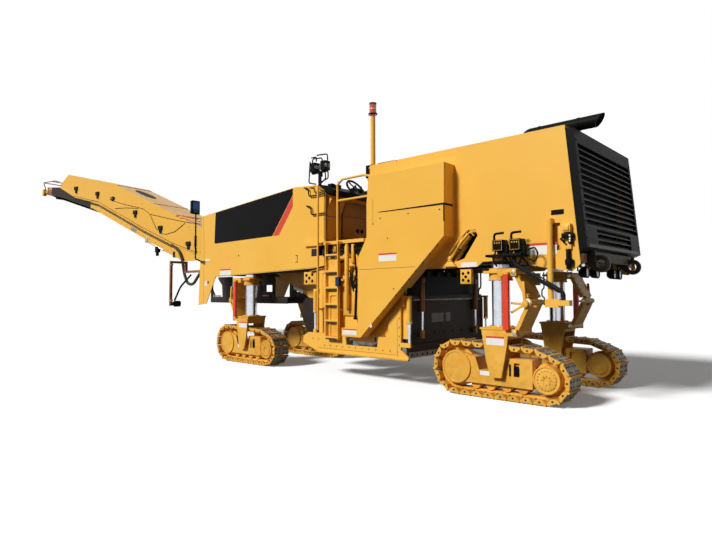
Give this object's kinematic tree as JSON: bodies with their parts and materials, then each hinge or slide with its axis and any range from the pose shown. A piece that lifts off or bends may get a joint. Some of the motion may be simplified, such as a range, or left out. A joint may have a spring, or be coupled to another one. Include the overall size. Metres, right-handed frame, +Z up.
{
  "type": "cold planer milling machine",
  "caption": "Half-lane road milling machine on four lifting crawlers, with a milling drum under its middle and a swinging loading conveyor at the front.",
  "frame": {"origin": "on the ground at the middle of the machine's footprint with its conveyor out", "axes": "+X forward towards the conveyor's head, +Y to the machine's left, +Z up"},
  "size_m": [14.9648, 2.8671, 4.42],
  "materials": {
    "yellow_paint": "semi-gloss machine yellow enamel",
    "black_paint": "satin black enamel",
    "chrome_rod": "hard chromed rod",
    "steel": "worn steel drum",
    "dark_frame": "dark chassis enamel",
    "rubber": "black conveyor rubber",
    "amber_lens": "amber moulded lens",
    "orange_paint": "orange-brown painted tube",
    "red_paint": "red-orange safety paint",
    "track_steel": "painted track shoes, worn bare on the treads"
  },
  "bodies": {
    "machine": {"chassis": "dark_frame", "front_body": "yellow_paint", "rear_body": "yellow_paint", "grille": "black_paint", "engine": "black_paint", "deck": "yellow_paint", "ladders": "yellow_paint", "consoles": "black_paint", "belt_guard": "yellow_paint", "drum_housing": "yellow_paint", "side_lifts": "yellow_paint", "collecting_frame": "dark_frame", "collecting_belt": "rubber", "beacon_mast": "yellow_paint", "beacon_lens": "amber_lens", "mirrors": "black_paint", "work_lamps": "black_paint", "control_pods": "yellow_paint", "rear_hose": "rubber", "front_guide": "orange_paint"},
    "hood": {"engine_hood": "yellow_paint", "exhaust": "black_paint"},
    "drum": {"drum": "steel"},
    "side_left": {"side_plate_left": "yellow_paint"},
    "side_right": {"side_plate_right": "yellow_paint"},
    "moldboard": {"moldboard": "dark_frame"},
    "swing_turret": {"turret": "dark_frame"},
    "boom": {"conveyor_hood": "yellow_paint", "conveyor_frame": "yellow_paint", "conveyor_belt": "rubber"},
    "lift_barrel": {"lift_barrel": "dark_frame"},
    "lift_rod": {"lift_rod": "chrome_rod"},
    "steer_rear_left": {"collar_rear_left": "yellow_paint", "lock_rear_left": "red_paint"},
    "crawler_rear_left": {"carrier_rear_left": "yellow_paint", "column_rear_left": "chrome_rod", "track_rear_left": "track_steel"},
    "link_upper_rear_left": {"link_upper_rear_left": "yellow_paint"},
    "link_lower_rear_left": {"link_lower_rear_left": "yellow_paint"},
    "steer_rear_right": {"collar_rear_right": "yellow_paint", "lock_rear_right": "red_paint"},
    "crawler_rear_right": {"carrier_rear_right": "yellow_paint", "column_rear_right": "chrome_rod", "track_rear_right": "track_steel"},
    "link_upper_rear_right": {"link_upper_rear_right": "yellow_paint"},
    "link_lower_rear_right": {"link_lower_rear_right": "yellow_paint"},
    "steer_front_left": {"collar_front_left": "yellow_paint", "lock_front_left": "red_paint"},
    "crawler_front_left": {"carrier_front_left": "yellow_paint", "column_front_left": "chrome_rod", "track_front_left": "track_steel"},
    "link_upper_front_left": {"link_upper_front_left": "yellow_paint"},
    "link_lower_front_left": {"link_lower_front_left": "yellow_paint"},
    "steer_front_right": {"collar_front_right": "yellow_paint", "lock_front_right": "red_paint"},
    "crawler_front_right": {"carrier_front_right": "yellow_paint", "column_front_right": "chrome_rod", "track_front_right": "track_steel"},
    "link_upper_front_right": {"link_upper_front_right": "yellow_paint"},
    "link_lower_front_right": {"link_lower_front_right": "yellow_paint"}
  },
  "joints": [
    {"name": "steer_rear_left", "type": "hinge", "parent": "machine", "child": "steer_rear_left", "pos_m": [-6.297, 0.52, 1.5], "axis": [0, 0, 1], "range_deg": [-25, 25]},
    {"name": "leg_lift_rear_left", "type": "slide", "parent": "steer_rear_left", "child": "crawler_rear_left", "axis": [0, 0, 1], "range_m": [-0.03, 0.35]},
    {"name": "link_upper_rear_left", "type": "hinge", "parent": "steer_rear_left", "child": "link_upper_rear_left", "pos_m": [-6.559, 0.52, 1.5], "axis": [0, 1, 0], "range_deg": [-4, 38.5]},
    {"name": "link_lower_rear_left", "type": "hinge", "parent": "crawler_rear_left", "child": "link_lower_rear_left", "pos_m": [-6.559, 0.52, 0.8], "axis": [0, 1, 0], "range_deg": [-38.5, 4]},
    {"name": "steer_rear_right", "type": "hinge", "parent": "machine", "child": "steer_rear_right", "pos_m": [-6.297, -1.12, 1.5], "axis": [0, 0, 1], "range_deg": [-25, 25]},
    {"name": "leg_lift_rear_right", "type": "slide", "parent": "steer_rear_right", "child": "crawler_rear_right", "axis": [0, 0, 1], "range_m": [-0.03, 0.35]},
    {"name": "link_upper_rear_right", "type": "hinge", "parent": "steer_rear_right", "child": "link_upper_rear_right", "pos_m": [-6.559, -1.12, 1.5], "axis": [0, 1, 0], "range_deg": [-4, 38.5]},
    {"name": "link_lower_rear_right", "type": "hinge", "parent": "crawler_rear_right", "child": "link_lower_rear_right", "pos_m": [-6.559, -1.12, 0.8], "axis": [0, 1, 0], "range_deg": [-38.5, 4]},
    {"name": "steer_front_left", "type": "hinge", "parent": "machine", "child": "steer_front_left", "pos_m": [-1.277, 0.52, 1.5], "axis": [0, 0, 1], "range_deg": [-25, 25]},
    {"name": "leg_lift_front_left", "type": "slide", "parent": "steer_front_left", "child": "crawler_front_left", "axis": [0, 0, 1], "range_m": [-0.03, 0.35]},
    {"name": "link_upper_front_left", "type": "hinge", "parent": "steer_front_left", "child": "link_upper_front_left", "pos_m": [-1.015, 0.52, 1.5], "axis": [0, 1, 0], "range_deg": [-38.5, 4]},
    {"name": "link_lower_front_left", "type": "hinge", "parent": "crawler_front_left", "child": "link_lower_front_left", "pos_m": [-1.015, 0.52, 0.8], "axis": [0, 1, 0], "range_deg": [-4, 38.5]},
    {"name": "steer_front_right", "type": "hinge", "parent": "machine", "child": "steer_front_right", "pos_m": [-1.277, -1.12, 1.5], "axis": [0, 0, 1], "range_deg": [-25, 25]},
    {"name": "leg_lift_front_right", "type": "slide", "parent": "steer_front_right", "child": "crawler_front_right", "axis": [0, 0, 1], "range_m": [-0.03, 0.35]},
    {"name": "link_upper_front_right", "type": "hinge", "parent": "steer_front_right", "child": "link_upper_front_right", "pos_m": [-1.015, -1.12, 1.5], "axis": [0, 1, 0], "range_deg": [-38.5, 4]},
    {"name": "link_lower_front_right", "type": "hinge", "parent": "crawler_front_right", "child": "link_lower_front_right", "pos_m": [-1.015, -1.12, 0.8], "axis": [0, 1, 0], "range_deg": [-4, 38.5]},
    {"name": "drum_spin", "type": "hinge", "parent": "machine", "child": "drum", "pos_m": [-4.197, -0.3, 0.885], "axis": [0, 1, 0], "continuous": true},
    {"name": "side_plate_left_lift", "type": "slide", "parent": "machine", "child": "side_left", "axis": [0, 0, 1], "range_m": [0, 0.25]},
    {"name": "side_plate_right_lift", "type": "slide", "parent": "machine", "child": "side_right", "axis": [0, 0, 1], "range_m": [0, 0.25]},
    {"name": "moldboard_lift", "type": "slide", "parent": "machine", "child": "moldboard", "axis": [0, 0, 1], "range_m": [0, 0.25]},
    {"name": "hood_lift", "type": "hinge", "parent": "machine", "child": "hood", "pos_m": [-4.807, -0.3, 3.13], "axis": [0, 1, 0], "range_deg": [0, 45]},
    {"name": "boom_swing", "type": "hinge", "parent": "machine", "child": "swing_turret", "pos_m": [0.203, -0.3, 1.76], "axis": [0, 0, 1], "range_deg": [-55.45, 34.55]},
    {"name": "boom_lift", "type": "hinge", "parent": "swing_turret", "child": "boom", "pos_m": [0.203, -0.3, 1.93], "axis": [0.1814, -0.9834, 0], "range_deg": [0, 8]},
    {"name": "lift_barrel_turn", "type": "hinge", "parent": "swing_turret", "child": "lift_barrel", "pos_m": [0.45869, -0.25284, 1.72], "axis": [0.1814, -0.9834, 0], "range_deg": [-1, 10]},
    {"name": "lift_rod_slide", "type": "slide", "parent": "lift_barrel", "child": "lift_rod", "axis": [0.9286, 0.1713, 0.3291], "range_m": [-0.005, 0.06]}
  ],
  "couplings": [
    {"joint": "link_upper_rear_left", "follows": "leg_lift_rear_left", "rad_per_m": 1.86},
    {"joint": "link_lower_rear_left", "follows": "leg_lift_rear_left", "rad_per_m": -1.86},
    {"joint": "link_upper_rear_right", "follows": "leg_lift_rear_right", "rad_per_m": 1.86},
    {"joint": "link_lower_rear_right", "follows": "leg_lift_rear_right", "rad_per_m": -1.86},
    {"joint": "link_upper_front_left", "follows": "leg_lift_front_left", "rad_per_m": -1.86},
    {"joint": "link_lower_front_left", "follows": "leg_lift_front_left", "rad_per_m": 1.86},
    {"joint": "link_upper_front_right", "follows": "leg_lift_front_right", "rad_per_m": -1.86},
    {"joint": "link_lower_front_right", "follows": "leg_lift_front_right", "rad_per_m": 1.86},
    {"joint": "steer_rear_right", "follows": "steer_rear_left", "ratio": 1},
    {"joint": "steer_front_right", "follows": "steer_front_left", "ratio": 1},
    {"joint": "lift_barrel_turn", "follows": "boom_lift", "ratio": 1.055},
    {"joint": "lift_rod_slide", "follows": "boom_lift", "m_per_rad": 0.2937}
  ]
}
